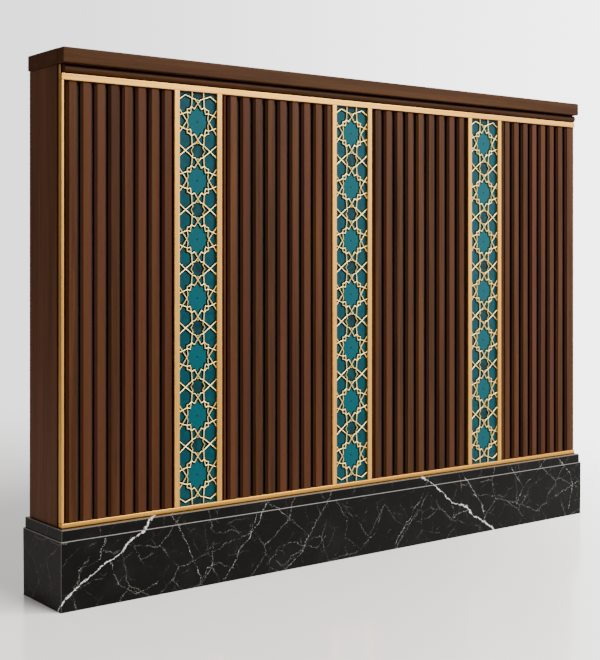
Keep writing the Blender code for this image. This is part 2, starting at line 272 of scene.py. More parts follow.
def vein_group():
    """Draws one straight stretch of a vein over those drawn before it.

    The place's third number carries the brightness so far. The point is dropped square on to the line
    from Start to End, no further than its ends, and the distance over the width gives the brightness.
    """
    group = bpy.data.node_groups.new("vein_stretch", "ShaderNodeTree")
    for name in ("Vector", "Start", "End"):
        group.interface.new_socket(name, in_out="INPUT", socket_type="NodeSocketVector")
    for name in ("Width", "Strength"):
        group.interface.new_socket(name, in_out="INPUT", socket_type="NodeSocketFloat")
    group.interface.new_socket("Vector", in_out="OUTPUT", socket_type="NodeSocketVector")
    entry = group.nodes.new("NodeGroupInput")
    leave = group.nodes.new("NodeGroupOutput")
    point, start, end, width, strength = entry.outputs[:5]
    out = vector_calc(group, "SUBTRACT", point, start)
    line = vector_calc(group, "SUBTRACT", end, start)
    along = vector_number(group, "DOT_PRODUCT", out, line)
    square = vector_number(group, "DOT_PRODUCT", line, line)
    share = add(group, "Math", [along, square], operation="DIVIDE", use_clamp=True).outputs[0]
    gap = vector_calc(group, "SUBTRACT", out, scaled(group, line, share))
    distance = vector_number(group, "LENGTH", vector_calc(group, "MULTIPLY", gap, FLATTEN))
    core = smooth(group, calc(group, "DIVIDE", distance, width), 0.12, 0.5, 1.0, 0.0)
    level = calc(group, "MULTIPLY", core, strength)
    bright = add(group, "CombineXYZ", [BELOW_ALL_PLACES, BELOW_ALL_PLACES, level]).outputs[0]
    put(group, leave.inputs[0], vector_calc(group, "MAXIMUM", point, bright))
    return group


def noise_shift(tree, place, scale, detail, roughness, reach):
    """A shift that follows a noise: its colour less a half, so that it goes both ways, by reach."""
    colour = noise(tree, place, scale, detail, roughness).outputs["Color"]
    centred = vector_calc(tree, "SUBTRACT", colour, (0.5, 0.5, 0.5))
    return scaled(tree, centred, reach * 2)


def wandering_place(tree, place):
    """Place along the front and height, unrolled round the block's corner and bent by noise."""
    parts = add(tree, "SeparateXYZ", [place])
    back = calc(tree, "SUBTRACT", parts.outputs[1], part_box("plinth")[0].y)
    unrolled = calc(tree, "SUBTRACT", parts.outputs[0], back)
    flat = add(tree, "CombineXYZ", [unrolled, parts.outputs[2], 0.0]).outputs[0]
    bends = noise_shift(tree, flat, 28.0, 4.0, 0.62, VEIN_WANDER)
    jags = noise_shift(tree, flat, 130.0, 3.0, 0.7, VEIN_JAGS)
    moved = vector_calc(tree, "ADD", flat, vector_calc(tree, "ADD", bends, jags))
    return flat, vector_calc(tree, "MULTIPLY", moved, FLATTEN)


def main_veins(tree, flat, moved):
    """Brightness of the main veins: solid where a vein is wide, broken into grains where thin."""
    group = vein_group()
    patches = smooth(tree, noise(tree, flat, 26.0, 3.0, 0.6).outputs[0], 0.35, 0.6, 0.25, 1.0)
    grains = smooth(tree, noise(tree, flat, 420.0, 4.0, 0.75).outputs[0], 0.47, 0.6)
    grains = calc(tree, "MULTIPLY", grains, patches)
    swell = smooth(tree, noise(tree, flat, 55.0, 3.0, 0.6).outputs[0], 0.32, 0.68, 0.3, 1.5)
    levels = []
    for is_wide in (True, False):
        drawn = moved
        for width, strength, bends in MAIN_VEINS:
            if (width >= WIDE_VEIN) != is_wide:
                continue
            sized = calc(tree, "MULTIPLY", swell, width)
            for start, end in zip(bends, bends[1:]):
                stretch = add(tree, "Group", node_tree=group)
                put(tree, stretch.inputs["Vector"], drawn)
                put(tree, stretch.inputs["Start"], (*start, 0.0))
                put(tree, stretch.inputs["End"], (*end, 0.0))
                put(tree, stretch.inputs["Width"], sized)
                put(tree, stretch.inputs["Strength"], strength)
                drawn = stretch.outputs[0]
        levels.append(add(tree, "SeparateXYZ", [drawn]).outputs[2])
    worn = smooth(tree, noise(tree, flat, 210.0, 3.0, 0.7).outputs[0], 0.38, 0.52)
    return calc(tree, "MAXIMUM", calc(tree, "MULTIPLY", levels[0], worn),
                calc(tree, "MULTIPLY", levels[1], grains))


def marble_material():
    """Black stone: soft clouds, a fine broken net of grey veins and the main white ones, and painted
    highlights in grey along the arrises.
    """
    material, tree, shader = new_material("black_marble")
    place = object_place(tree)
    flat, moved = wandering_place(tree, place)
    flecks = smooth(tree, noise(tree, flat, 380.0, 3.0, 0.7).outputs[0], 0.46, 0.58)
    nets = []
    for scale, width, cover, strength in FINE_NETS:
        cells = add(tree, "TexVoronoi", {"Vector": moved, "Scale": scale}, feature="DISTANCE_TO_EDGE",
                    voronoi_dimensions="2D")
        line = smooth(tree, cells.outputs["Distance"], 0.0, width, 1.0, 0.0)
        breaks = noise(tree, flat, scale * 1.3, 4.0, 0.6).outputs[0]
        shown = smooth(tree, breaks, cover, cover + 0.16)
        nets.append(calc(tree, "MULTIPLY", calc(tree, "MULTIPLY", line, shown),
                         calc(tree, "MULTIPLY", flecks, strength)))
    dust = smooth(tree, noise(tree, place, 520.0, 2.0, 0.5).outputs[0], 0.70, 0.78, 0.0, 0.35)
    nets.append(calc(tree, "MULTIPLY", dust, smooth(tree, noise(tree, flat, 17.0).outputs[0], 0.5, 0.65)))
    fine = calc(tree, "MAXIMUM", calc(tree, "MAXIMUM", nets[0], nets[1]), nets[2])
    cloud = smooth(tree, noise(tree, flat, 9.0, 5.0, 0.6).outputs[0], 0.45, 0.8)
    ground = tint(tree, cloud, MARBLE_BLACK, MARBLE_CLOUD)
    veined = tint(tree, fine, ground, MARBLE_GREY)
    veined = tint(tree, main_veins(tree, flat, moved), veined, MARBLE_WHITE)
    # The arris shares stored on the mesh turn the edges grey: painted highlight.
    arris = add(tree, "Attribute", attribute_name="arris").outputs["Fac"]
    veined = tint(tree, calc(tree, "MULTIPLY", arris, ARRIS_HIGHLIGHT_SHARE), veined, MARBLE_GREY)
    put(tree, shader.inputs["Base Color"], veined)
    shader.inputs["Roughness"].default_value = MARBLE_ROUGHNESS
    shader.inputs["Specular IOR Level"].default_value = MARBLE_SPECULAR
    return material


def make_plinth():
    """The block as plan rings, each drawn in by its inset: foot arris, block arris, step, rounding."""
    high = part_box("plinth")[1]
    foot_c, foot_s = arc(180, 90, CORNER_POINTS)
    top_c, top_s = arc(0, 90)
    inset = np.concatenate([FOOT_ARRIS * (1 - foot_s[::-1]), BLOCK_ARRIS * (1 - top_c), [STEP_INSET],
                            STEP_INSET + STEP_ROUNDING * (1 - top_c)])
    height = np.concatenate([FOOT_ARRIS * (1 + foot_c[::-1]), BLOCK_HEIGHT - BLOCK_ARRIS * (1 - top_s),
                             [BLOCK_HEIGHT], high.z - STEP_ROUNDING * (1 - top_s)])
    rings = []
    for shift, level in zip(inset, height):
        plan = plan_ring(high.x - shift, high.y - shift, UPRIGHT_ARRIS)
        rings.append(np.column_stack([plan, np.full(len(plan), level)]))
    piece = skin("marble_plinth", np.array(rings), marble_material(), "plinth")
    # Painted highlight along the arrises: a share of grey for each ring and corner point.
    painted_highlight = np.zeros((len(rings), len(rings[0])))
    on_corner = np.arange(painted_highlight.shape[1]) % CORNER_POINTS
    painted_highlight[:, (on_corner > 0) & (on_corner < CORNER_POINTS - 1)] = UPRIGHT_HIGHLIGHT
    block_arc = np.arange(ARC_POINTS) + len(foot_c)
    step_arc = block_arc + ARC_POINTS + 1
    painted_highlight[block_arc[1:-1]] = BLOCK_HIGHLIGHT
    painted_highlight[step_arc[1:-1]] = STEP_HIGHLIGHT
    store(piece, "arris", painted_highlight)


make_plinth()


# The walnut boards of the body
# Two side boards, a back board and, behind the slats, a board coloured nearly black as painted shade
# in the grooves and the seam. They are flat boards of dark walnut with a satin lacquer, the grain
# running upwards; the side and back boards are lighter than the slats, which is painted light.

WALNUT_LIGHT = rgb(68, 41, 22)
WALNUT_DARK = rgb(41, 21, 9)
WALNUT_RED = rgb(66, 35, 22)
WALNUT_OLIVE = rgb(56, 37, 18)
PORE_BROWN = rgb(20, 11, 7)
# Near black of the board behind the slats: painted shade in the grooves and the seam.
SHADOW_BLACK = rgb(14, 8, 5)
# Painted shade on the slats' sloping shoulders: its colour and its share.
SHOULDER_SHADE_BROWN = rgb(20, 10, 5)
SHOULDER_SHADE_SHARE = 0.3
PORE_SHARE = 0.55
DARKEST_BOARD = 0.86
LIGHTEST_BOARD = 1.12
BACKING_ROUGHNESS = 0.7
ALONG_X = (0, math.pi / 2, 0)
UPRIGHT = (0, 0, 0)


def grain_group():
    """Walnut grain along the third axis of the vector that goes in.

    Tone is the broad and fine streaks together, Pores the short dark lines of open grain, and
    Height what the bump reads. Board is a number that differs from one board to the next.
    """
    group = bpy.data.node_groups.new("walnut_grain", "ShaderNodeTree")
    group.interface.new_socket("Vector", in_out="INPUT", socket_type="NodeSocketVector")
    group.interface.new_socket("Board", in_out="INPUT", socket_type="NodeSocketFloat")
    for name in ("Tone", "Pores", "Height"):
        group.interface.new_socket(name, in_out="OUTPUT", socket_type="NodeSocketFloat")
    entry = group.nodes.new("NodeGroupInput")
    leave = group.nodes.new("NodeGroupOutput")
    shift = add(group, "CombineXYZ", [calc(group, "MULTIPLY", entry.outputs["Board"], 7.3), 0.0,
                                      calc(group, "MULTIPLY", entry.outputs["Board"], 3.1)]).outputs[0]
    moved = add(group, "VectorMath", [entry.outputs["Vector"], shift], operation="ADD").outputs[0]
    broad = noise(group, stretched(group, moved, (22.0, 22.0, 1.1)), 1.0, 3.0, 0.5, 0.6).outputs[0]
    streak = noise(group, stretched(group, moved, (150.0, 150.0, 3.0)), 1.0, 4.0, 0.6, 0.3).outputs[0]
    hair = noise(group, stretched(group, moved, (620.0, 620.0, 9.0)), 1.0, 2.0, 0.6).outputs[0]
    fine = calc(group, "ADD", calc(group, "MULTIPLY", streak, 0.37),
                calc(group, "MULTIPLY", hair, 0.18))
    tone = calc(group, "ADD", calc(group, "MULTIPLY", broad, 0.45), fine)
    pore = noise(group, stretched(group, moved, (900.0, 900.0, 26.0)), 1.0, 1.0, 0.5).outputs[0]
    pores = smooth(group, pore, 0.62, 0.74)
    height = calc(group, "SUBTRACT", calc(group, "MULTIPLY", tone, 0.6),
                  calc(group, "MULTIPLY", pores, 0.5))
    put(group, leave.inputs["Tone"], tone)
    put(group, leave.inputs["Pores"], pores)
    put(group, leave.inputs["Height"], height)
    return group


WALNUT_GRAIN = grain_group()


def walnut_material(name, turn, gloss, tone=1.0):
    """Lacquered walnut. turn brings the board's own length onto the grain's axis, tone lightens it.

    A board's own number picks its tone, and a shoulder marked on the mesh is painted darker: painted shade.
    """
    material, tree, shader = new_material(name)
    vector = stretched(tree, object_place(tree), (1, 1, 1), turn=turn)
    board = add(tree, "Attribute", attribute_name="board").outputs["Fac"]
    grain = add(tree, "Group", node_tree=WALNUT_GRAIN)
    put(tree, grain.inputs["Vector"], vector)
    put(tree, grain.inputs["Board"], board)
    colour = tint(tree, smooth(tree, grain.outputs["Tone"], 0.36, 0.66), WALNUT_DARK, WALNUT_LIGHT)
    dice = add(tree, "TexWhiteNoise", {"W": board}, noise_dimensions="1D")
    parts = add(tree, "SeparateColor", [dice.outputs["Color"]])
    place = add(tree, "CombineXYZ", [calc(tree, "MULTIPLY", board, 9.1), 0.0,
                                     add(tree, "SeparateXYZ", [vector]).outputs[2]]).outputs[0]
    drift = noise(tree, place, 2.2, 2.0).outputs[0]
    reddish = smooth(tree, calc(tree, "ADD", parts.outputs[0], drift), 0.75, 1.35, 0.0, 0.5)
    olive = smooth(tree, calc(tree, "SUBTRACT", parts.outputs[2], drift), 0.0, 0.6, 0.0, 0.6)
    colour = tint(tree, olive, colour, WALNUT_OLIVE)
    colour = tint(tree, reddish, colour, WALNUT_RED)
    level = smooth(tree, parts.outputs[1], 0.0, 1.0, tone * DARKEST_BOARD, tone * LIGHTEST_BOARD)
    grey = add(tree, "CombineColor", [level, level, level]).outputs[0]
    colour = tint(tree, 1.0, colour, grey, "MULTIPLY")
    pores = calc(tree, "MULTIPLY", grain.outputs["Pores"], PORE_SHARE)
    colour = tint(tree, pores, colour, PORE_BROWN)
    # Shoulders darkened towards brown: painted shade.
    shoulder_shade = add(tree, "Attribute", attribute_name="shoulder").outputs["Fac"]
    colour = tint(tree, calc(tree, "MULTIPLY", shoulder_shade, SHOULDER_SHADE_SHARE), colour, SHOULDER_SHADE_BROWN)
    put(tree, shader.inputs["Base Color"], colour)
    put(tree, shader.inputs["Roughness"], smooth(tree, grain.outputs["Tone"], 0.3, 0.7, 0.51, 0.40))
    shader.inputs["Specular IOR Level"].default_value = gloss
    bump = add(tree, "Bump", {"Strength": 0.25, "Distance": 0.0004, "Height": grain.outputs["Height"]})
    put(tree, shader.inputs["Normal"], bump.outputs[0])
    return material


WALNUT_SLAT = walnut_material("walnut_slat", UPRIGHT, 0.045)
# The upright boards take walnut half as light again as the slats: painted light on the side boards.
WALNUT_UPRIGHT_LIGHTENED = walnut_material("walnut_upright_lightened", UPRIGHT, 0.06, 1.5)
WALNUT_LENGTHWISE = walnut_material("walnut_lengthwise", ALONG_X, 0.03, 0.9)


def shadow_black_material():
    """Walnut coloured nearly black, with a little of its grain left: painted shade in the grooves and the
    seam.
    """
    material, tree, shader = new_material("stained_backing")
    grain = add(tree, "Group", node_tree=WALNUT_GRAIN)
    put(tree, grain.inputs["Vector"], object_place(tree))
    colour = tint(tree, grain.outputs["Tone"], SHADOW_BLACK, PORE_BROWN)
    put(tree, shader.inputs["Base Color"], colour)
    shader.inputs["Roughness"].default_value = BACKING_ROUGHNESS
    return material


def dress(node_name, material):
    """Gives a piece of the frame its material, and returns the piece."""
    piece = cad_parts[node_name]
    piece.data.materials.clear()
    piece.data.materials.append(material)
    return piece


# The side and back boards get the lightened walnut: painted light.
for node_name in ("side_board_left", "side_board_right", "back_board"):
    dress(node_name, WALNUT_UPRIGHT_LIGHTENED)
dress("backing_board", shadow_black_material())


# The walnut slats
# Moulded walnut battens, glued side by side on the nearly black board: a flat face steps down to a
# sloping shoulder on each side, which is painted darker as shade. No two have quite the same tone.

SLAT_FACE_WIDTH = 0.018
SLAT_SHOULDER_DEPTH = 0.0055
SLAT_STEP = 0.0015
SLAT_ARRIS = 0.0008
SLAT_END_EASING = 0.0006
WIDTH_TOLERANCE = 0.0001
first_low, first_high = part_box("slat_1_1")
WHOLE_WIDTH = first_high.x - first_low.x
SHOULDER_WIDTH = (WHOLE_WIDTH - SLAT_FACE_WIDTH) / 2


def carried(outline, axis, low, high, easing):
    """An outline carried along an axis: the end rings are drawn in a little, which eases the ends.

    The outline is an array of points in the two other axes, in the order X, Y, Z without the axis.
    """
    centre = (outline.min(axis=0) + outline.max(axis=0)) / 2
    half = (outline.max(axis=0) - outline.min(axis=0)) / 2
    stations = ((low, easing), (low + easing, 0.0), (high - easing, 0.0), (high, easing))
    rings = []
    for place, inset in stations:
        ring = centre + (outline - centre) * (1 - inset / half)
        rings.append(np.insert(ring, axis, place, axis=1))
    return np.array(rings)


def eased_corners(corners, radius):
    """Rounds an open line's inner corners: each gives way to a curve that starts and ends a radius off.

    The curve blends the way in and the way out: start (1-t)^2 + 2 corner t(1-t) + end t^2.
    """
    corners = np.array(corners)
    ahead = np.diff(corners, axis=0)
    ahead /= np.linalg.norm(ahead, axis=1, keepdims=True)
    middle = corners[1:-1, None]
    t = np.linspace(0, 1, CORNER_POINTS)[None, :, None]
    start = middle - ahead[:-1, None] * radius
    end = middle + ahead[1:, None] * radius
    curves = start * (1 - t) ** 2 + 2 * middle * t * (1 - t) + end * t ** 2
    return np.concatenate([corners[:1], curves.reshape(-1, 2), corners[-1:]])


def slat_outline(low, high, shoulder_left, shoulder_right):
    """Plan of a slat: back corners, then shoulder, step and face, or a square edge where it is cut."""
    face = low.y
    slope = face + SLAT_SHOULDER_DEPTH
    line = [(low.x, high.y)]
    if shoulder_left:
        line += [(low.x, slope), (low.x + SHOULDER_WIDTH, face + SLAT_STEP), (low.x + SHOULDER_WIDTH, face)]
    else:
        line += [(low.x, face)]
    if shoulder_right:
        line += [(high.x - SHOULDER_WIDTH, face), (high.x - SHOULDER_WIDTH, face + SLAT_STEP),
                 (high.x, slope)]
    else:
        line += [(high.x, face)]
    line += [(high.x, high.y)]
    return eased_corners(line, SLAT_ARRIS)


def mark_board(piece, number):
    """Stores the board's own number on every point, for the grain and tone."""
    store(piece, "board", np.full(len(piece.data.vertices), number))


def mark_shoulders(piece, face):
    """Stores 1 on every point that lies clearly behind the slat's face, for the painted shade on the
    shoulders.
    """
    points = np.empty(len(piece.data.vertices) * 3, dtype=np.float32)
    piece.data.vertices.foreach_get("co", points)
    store(piece, "shoulder", points.reshape(-1, 3)[:, 1] > face + SLAT_ARRIS * 0.7)


slat_names = sorted(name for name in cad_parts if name.startswith("slat_"))
for number, node_name in enumerate(slat_names + ["end_slat"]):
    low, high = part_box(node_name)
    is_whole = abs(high.x - low.x - WHOLE_WIDTH) < WIDTH_TOLERANCE
    outline = slat_outline(low, high, True, is_whole)
    piece = skin("walnut_" + node_name, carried(outline, 2, low.z, high.z, SLAT_END_EASING),
                 WALNUT_SLAT, node_name)
    mark_board(piece, number + 1.0)
    mark_shoulders(piece, low.y)


# The thin walnut beads
# Beside the first and third strip a walnut bead 4 mm wide fills the gap between slat and brass. Its
# front edge is rounded off, and it is glued to the nearly black board as the slats are.

FIRST_BEAD_BOARD = 50.0
BEAD_ARC_POINTS = 9
for number, node_name in enumerate(("narrow_slat_2", "narrow_slat_4")):
    low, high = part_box(node_name)
    radius = (high.x - low.x) / 2
    c, s = arc(180, 360, BEAD_ARC_POINTS)
    nose = np.stack([low.x + radius + radius * c, low.y + radius + radius * s], axis=1)
    outline = np.concatenate([[[high.x, high.y], [low.x, high.y]], nose])
    piece = skin("walnut_" + node_name, carried(outline, 2, low.z, high.z, SLAT_END_EASING / 2),
                 WALNUT_UPRIGHT_LIGHTENED, node_name)
    mark_board(piece, FIRST_BEAD_BOARD + number)


# The frieze moulding
# A half-round walnut moulding that runs along the whole panel, fixed between the top rail and the
# cap, its ends eased.

FRIEZE_ARC_POINTS = 17
FRIEZE_END_EASING = 0.0015
FRIEZE_BOARD = 61.0
low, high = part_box("frieze_moulding")
radius = (high.z - low.z) / 2
c, s = arc(90, 270, FRIEZE_ARC_POINTS)
nose = np.stack([low.y + radius + radius * c, low.z + radius + radius * s], axis=1)
outline = np.concatenate([[[high.y, high.z]], nose, [[high.y, low.z]]])
frieze = skin("walnut_frieze", carried(outline, 0, low.x, high.x, FRIEZE_END_EASING),
              WALNUT_LENGTHWISE, "frieze_moulding")
mark_board(frieze, FRIEZE_BOARD)


# The cap
# Two boards side by side: a thick front one, its corners rounded, and a wide one behind it. The
# joint between them shows as a fine line on the ends and on top.

FASCIA_ROUNDING = 0.003
CAP_BOARD_ROUNDING = 0.0015
LEAST_RADIUS = 0.00001
FASCIA_BOARD = 71.0
CAP_BOARD = 72.0


def eased_box(low, high, radius):
    """Rings of a box with all edges rounded: plan rings drawn in by a quarter circle at both ends."""
    centre = [(a + b) / 2 for a, b in zip(low, high)]
    half = [(b - a) / 2 for a, b in zip(low, high)]
    c, s = arc(-90, 0)
    inset = np.concatenate([radius * (1 - c), radius * (1 - c[::-1])])
    level = np.concatenate([low[2] + radius * (1 + s), high[2] - radius * (1 + s[::-1])])
    rings = []
    for shift, height in zip(inset, level):
        corner = max(radius - shift, LEAST_RADIUS)
        plan = plan_ring(half[0] - shift, half[1] - shift, corner)
        rings.append(np.column_stack([plan + centre[:2], np.full(len(plan), height)]))
    return np.array(rings)


low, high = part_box("cap_fascia")
fascia = skin("walnut_cap_fascia", eased_box(low, high, FASCIA_ROUNDING), WALNUT_LENGTHWISE,
              "cap_fascia")
mark_board(fascia, FASCIA_BOARD)
low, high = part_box("cap_board")
cap = skin("walnut_cap_board", eased_box(low, high, CAP_BOARD_ROUNDING), WALNUT_LENGTHWISE,
           "cap_board")
mark_board(cap, CAP_BOARD)


# The brass bars
# Satin brass, brushed lengthwise, edges eased: a rail along the top and the bottom of the field, an
# upright at the left corner with a short, narrow strip set back over it, and an upright each side
# of every inlay strip.

BRASS = rgb(184, 130, 54)
BRASS_LIGHT = rgb(198, 146, 68)
BRASS_EASING = 0.0012
BRASS_ROUGHNESS = 0.36
HEAD_STRIP_WIDTH = 0.0024


def brass_material(name, turn, colour, light, roughness):
    """Brushed brass: fine lines along the bar change tone, roughness and a slight bump."""
    material, tree, shader = new_material(name)
    vector = stretched(tree, object_place(tree), (1, 1, 1), turn=turn)
    fine = noise(tree, stretched(tree, vector, (1500.0, 1500.0, 7.0)), 1.0, 3.0, 0.6).outputs[0]
    broad = noise(tree, stretched(tree, vector, (220.0, 220.0, 2.0)), 1.0, 3.0, 0.6).outputs[0]
    lines = calc(tree, "ADD", calc(tree, "MULTIPLY", fine, 0.5), calc(tree, "MULTIPLY", broad, 0.5))
    put(tree, shader.inputs["Base Color"], tint(tree, smooth(tree, lines, 0.35, 0.65), colour, light))
    put(tree, shader.inputs["Roughness"], smooth(tree, lines, 0.3, 0.7, roughness - 0.05, roughness + 0.07))
    shader.inputs["Metallic"].default_value = 1.0
    bump = add(tree, "Bump", {"Strength": 0.12, "Distance": 0.0002, "Height": lines})
    put(tree, shader.inputs["Normal"], bump.outputs[0])
    return material


BRASS_UPRIGHT = brass_material("satin_brass_upright", UPRIGHT, BRASS, BRASS_LIGHT, BRASS_ROUGHNESS)
BRASS_LENGTHWISE = brass_material("satin_brass_rail", ALONG_X, BRASS, BRASS_LIGHT, BRASS_ROUGHNESS)
for node_name in ("top_rail", "bottom_rail"):
    low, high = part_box(node_name)
    skin("brass_" + node_name, eased_box(low, high, BRASS_EASING), BRASS_LENGTHWISE,
         node_name)
for node_name in [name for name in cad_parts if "trim" in name]:
    low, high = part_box(node_name)
    if node_name == "corner_trim_head":
        high.x = low.x + HEAD_STRIP_WIDTH
    skin("brass_" + node_name, eased_box(low, high, BRASS_EASING), BRASS_UPRIGHT, node_name)


# The teal inlays
# Panels glazed blue-green, uneven and cloudy as a hand-poured glaze is, paler under the large
# stars and deeper under the small ones. Along the straps lies a dark ribbon: painted shade.

STARS = 7
TEAL = rgb(1, 44, 52)
TEAL_PALE = rgb(3, 62, 69)
TEAL_DEEP = rgb(1, 25, 30)
# Near black for the dot at each large star's middle and for the painted shade along the straps.
TEAL_DOT_AND_SHADE = rgb(1, 5, 6)
SHADE_MARGIN = 0.0056
SHADE_HEIGHT = 0.0002
DOT_REACH = 0.0016
LARGE_STAR_REACH = 0.031
SMALL_STAR_REACH = 0.014
STAR_EDGE = 0.003
TEAL_ROUGHNESS = 0.32
TEAL_SPECULAR = 0.08
SHADE_ROUGHNESS = 0.5
SHADE_SPECULAR = 0.02


def star_distance(tree, across, rise, spacing):
    """Distance to the nearest star's middle: the root of across squared plus up squared.

    rise counts in spacings, so what is left after rounding, times the spacing, is the way up.
    """
    up = calc(tree, "SUBTRACT", rise, calc(tree, "ROUND", rise))
    up = calc(tree, "MULTIPLY", up, spacing)
    squares = calc(tree, "ADD", calc(tree, "MULTIPLY", across, across),
                   calc(tree, "MULTIPLY", up, up))
    return calc(tree, "SQRT", squares)


def teal_material(centre, middle, spacing):
    """Glaze of one strip: distances to the nearest large and small star's middle set its depth."""
    material, tree, shader = new_material("teal_glaze")
    place = object_place(tree)
    parts = add(tree, "SeparateXYZ", [place])
    across = calc(tree, "SUBTRACT", parts.outputs[0], centre)
    rise = calc(tree, "DIVIDE", calc(tree, "SUBTRACT", parts.outputs[2], middle), spacing)
    large = star_distance(tree, across, rise, spacing)
    small = star_distance(tree, across, calc(tree, "ADD", rise, 0.5), spacing)
    clouds = noise(tree, place, 45.0, 4.0, 0.6, 0.8).outputs[0]
    specks = noise(tree, place, 420.0, 2.0, 0.6).outputs[0]
    off_large = smooth(tree, large, LARGE_STAR_REACH, LARGE_STAR_REACH + STAR_EDGE)
    off_small = smooth(tree, small, SMALL_STAR_REACH, SMALL_STAR_REACH + STAR_EDGE)
    colour = tint(tree, off_large, TEAL_PALE, TEAL)
    colour = tint(tree, off_small, TEAL_DEEP, colour)
    colour = tint(tree, smooth(tree, clouds, 0.3, 0.75, 0.0, 0.55), colour, TEAL_PALE)
    colour = tint(tree, smooth(tree, specks, 0.62, 0.75, 0.0, 0.5), colour, TEAL_DEEP)
    colour = tint(tree, smooth(tree, large, DOT_REACH, DOT_REACH * 1.8, 0.75, 0.0), colour, TEAL_DOT_AND_SHADE)
    put(tree, shader.inputs["Base Color"], colour)
    shader.inputs["Roughness"].default_value = TEAL_ROUGHNESS
    shader.inputs["Specular IOR Level"].default_value = TEAL_SPECULAR
    bump = add(tree, "Bump", {"Strength": 0.3, "Distance": 0.001, "Height": clouds})
    put(tree, shader.inputs["Normal"], bump.outputs[0])
    return material


def strap_shade_material():
    """A dark ribbon on the glaze along the straps: painted shade beside them."""
    material, tree, shader = new_material("teal_strap_shade")
    clouds = noise(tree, object_place(tree), 160.0, 3.0, 0.6).outputs[0]
    colour = tint(tree, smooth(tree, clouds, 0.45, 0.8), TEAL_DOT_AND_SHADE, TEAL_DEEP)
    put(tree, shader.inputs["Base Color"], colour)
    shader.inputs["Roughness"].default_value = SHADE_ROUGHNESS
    shader.inputs["Specular IOR Level"].default_value = SHADE_SPECULAR
    return material


# The star lattices
# Cast brass tracery, paler than the bars. Straps under 2 mm wide, with a low crown, cross and bend
# round large twelve-pointed stars with small stars between them, a little in front of the glaze.

LATTICE_GOLD = rgb(236, 204, 120)
LATTICE_LIGHT = rgb(250, 226, 150)
LATTICE_ROUGHNESS = 0.4
LATTICE_ANGLE = math.radians(50)
HALF_REPEAT = 67.7
STRAP_WIDTH = 0.0017
THIN_STRAP_WIDTH = 0.0011
STRAP_CROWN = 0.0008


def strap_lines(half, is_end):
    """Straps of a quarter repeat, as (width, corners in mm): half is the opening's half width.

    Sideways is measured from the middle of the strip, upwards from the middle of a large star.
    At the strip's ends the side crossings close to a roof and the uprights run on to the rail.
    """
    crossing = (HALF_REPEAT / 2, 59.7 if is_end else HALF_REPEAT)
    arm = (half + 1, crossing[1] - (0.62 if is_end else 0.77) * (half + 1 - crossing[0]))
    star = (arm, crossing, (13.2, 52.3), (7.6, 51.4), (0, 42.0), (9.5, 28.8), (17.5, 33.3), (22.6, 28.5),
            (28.9, 27.3), (28.9, 20.2))
    upright = [(half + 1, 12.5), (41.8, 15.8), (28.9, 20.2), (20.8, 18.2), (17.4, 33.0), (15.7, 54.3)]
    upright.append((15.3, HALF_REPEAT) if is_end else (13.4, 59.0))
    lines = [(STRAP_WIDTH, star), (STRAP_WIDTH, upright),
             (STRAP_WIDTH, ((half + 1, 27.8), (41.8, 15.8), (29.9, 0))),
             (THIN_STRAP_WIDTH, ((28.9, 20.2), (26.8, 7.0), (29.9, 0))),
             (THIN_STRAP_WIDTH, ((4.2, 46.4), (0, 50.8)))]
    if not is_end:
        lines.append((THIN_STRAP_WIDTH, ((13.4, 59.0), (18.8, HALF_REPEAT))))
    return lines


def strap_rings(corners, width, back, front, crown):
    """Rings of a strap: its crowned section stands square to the line, mitred at each bend."""
    ahead = np.diff(corners, axis=0)
    ahead /= np.linalg.norm(ahead, axis=1, keepdims=True)
    before = np.vstack([ahead[:1], ahead])
    after = np.vstack([ahead, ahead[-1:]])
    along = before + after
    along /= np.linalg.norm(along, axis=1, keepdims=True)
    across = np.stack([-along[:, 1], along[:, 0]], axis=1)
    across /= np.maximum((along * before).sum(axis=1), 0.35)[:, None]
    sideways = np.array([-1, -1, -0.7, -0.3, 0.3, 0.7, 1, 1]) * width / 2
    sink = np.array([0, 1, 0.35, 0, 0, 0.35, 1, 0]) * crown
    depth = np.where(np.arange(8) % 7 == 0, back, front + sink)
    flat = corners[:, None, :] + across[:, None, :] * sideways[None, :, None]
    depths = np.broadcast_to(depth, flat.shape[:2])
    return np.stack([flat[..., 0], depths, flat[..., 1]], axis=-1)


def placed_straps(low, high):
    """Every strap of one strip, as (width, corners in X and Z).

    The quarter repeat is scaled, mirrored sideways and up about each large star's middle, and the
    stars stand one spacing apart. What runs over the opening's edge is drawn back to it.
    """
    centre = (low.x + high.x) / 2
    middle = (low.z + high.z) / 2
    spacing = (high.z - low.z) / STARS
    scale = spacing / (2 * HALF_REPEAT)
    half = (high.x - low.x) / 2 / scale
    straps = []
    for star in range(STARS):
        height = middle + (star - (STARS - 1) / 2) * spacing
        for up in (1, -1):
            is_end = star == (STARS - 1 if up > 0 else 0)
            for width, line in strap_lines(half, is_end):
                for side in (1, -1):
                    corners = np.array(line) * scale * (side, up) + (centre, height)
                    straps.append((width, np.clip(corners, (low.x, low.z), (high.x, high.z))))
    return straps


def tracery(name, number, extra, back, front, crown, material):
    """All straps of one strip as a mesh, each closed by its first and last ring.

    extra widens every strap, and back, front and crown set its section in depth.
    """
    points = []
    faces = []
    total = 0
    for width, corners in placed_straps(*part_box(f"star_lattice_{number}")):
        rings = strap_rings(corners, width + extra, back, front, crown)
        count, around = rings.shape[:2]
        quads = ring_quads(count, around)[:, [0, 3, 2, 1]] + total
        first = np.arange(around) + total
        last = first + (count - 1) * around
        faces += quads.tolist() + [first.tolist(), last[::-1].tolist()]
        points.append(rings.reshape(-1, 3))
        total += count * around
    mesh = smooth_mesh(name, np.concatenate(points), faces, material, LATTICE_ANGLE)
    piece = new_object(name, mesh)
    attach(piece, "root")
    return piece


